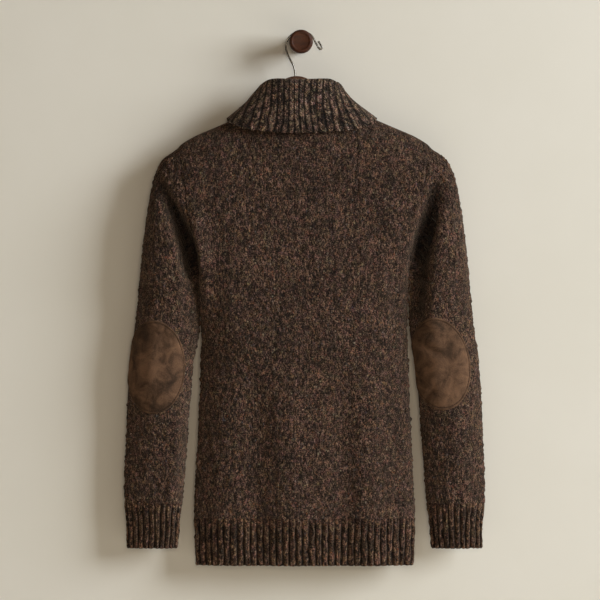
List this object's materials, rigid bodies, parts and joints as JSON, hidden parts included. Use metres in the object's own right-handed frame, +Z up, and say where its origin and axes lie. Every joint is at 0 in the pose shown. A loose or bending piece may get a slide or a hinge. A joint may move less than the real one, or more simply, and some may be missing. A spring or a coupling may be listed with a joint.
{
  "type": "wool pullover with elbow patches on a wooden hanger, hung from a wall knob",
  "caption": "Long-sleeved ribbed-collar wool pullover with oval suede elbow patches, hanging back to front on a wooden hanger from a round wall knob.",
  "frame": {"origin": "centre of the wall knob's flat back face, on the wall", "axes": "+Z up, +Y into the wall, +X to the right of someone who faces the wall; the garment's back faces -Y"},
  "size_m": [0.577, 0.0865, 0.8562],
  "materials": {
    "wool": "brushed tweed knit, heathered brown with paler and rust flecks",
    "rib_wool": "knitted rib in the same tweed yarn",
    "suede": "brown suede with a mottled nap",
    "hanger_wood": "reddish brown stained and lacquered wood",
    "hook_steel": "bright steel wire",
    "knob_wood": "dark stained turned wood with a satin coat"
  },
  "bodies": {
    "root": {"back": "wool", "front": "wool", "hem_rib_back": "rib_wool", "hem_rib_front": "rib_wool", "sleeve_left": "wool", "sleeve_right": "wool", "cuff_left": "rib_wool", "cuff_right": "rib_wool", "elbow_patch_left": "suede", "elbow_patch_right": "suede", "collar": "rib_wool", "hanger": "hanger_wood", "hook": "hook_steel", "knob": "knob_wood"}
  },
  "joints": []
}
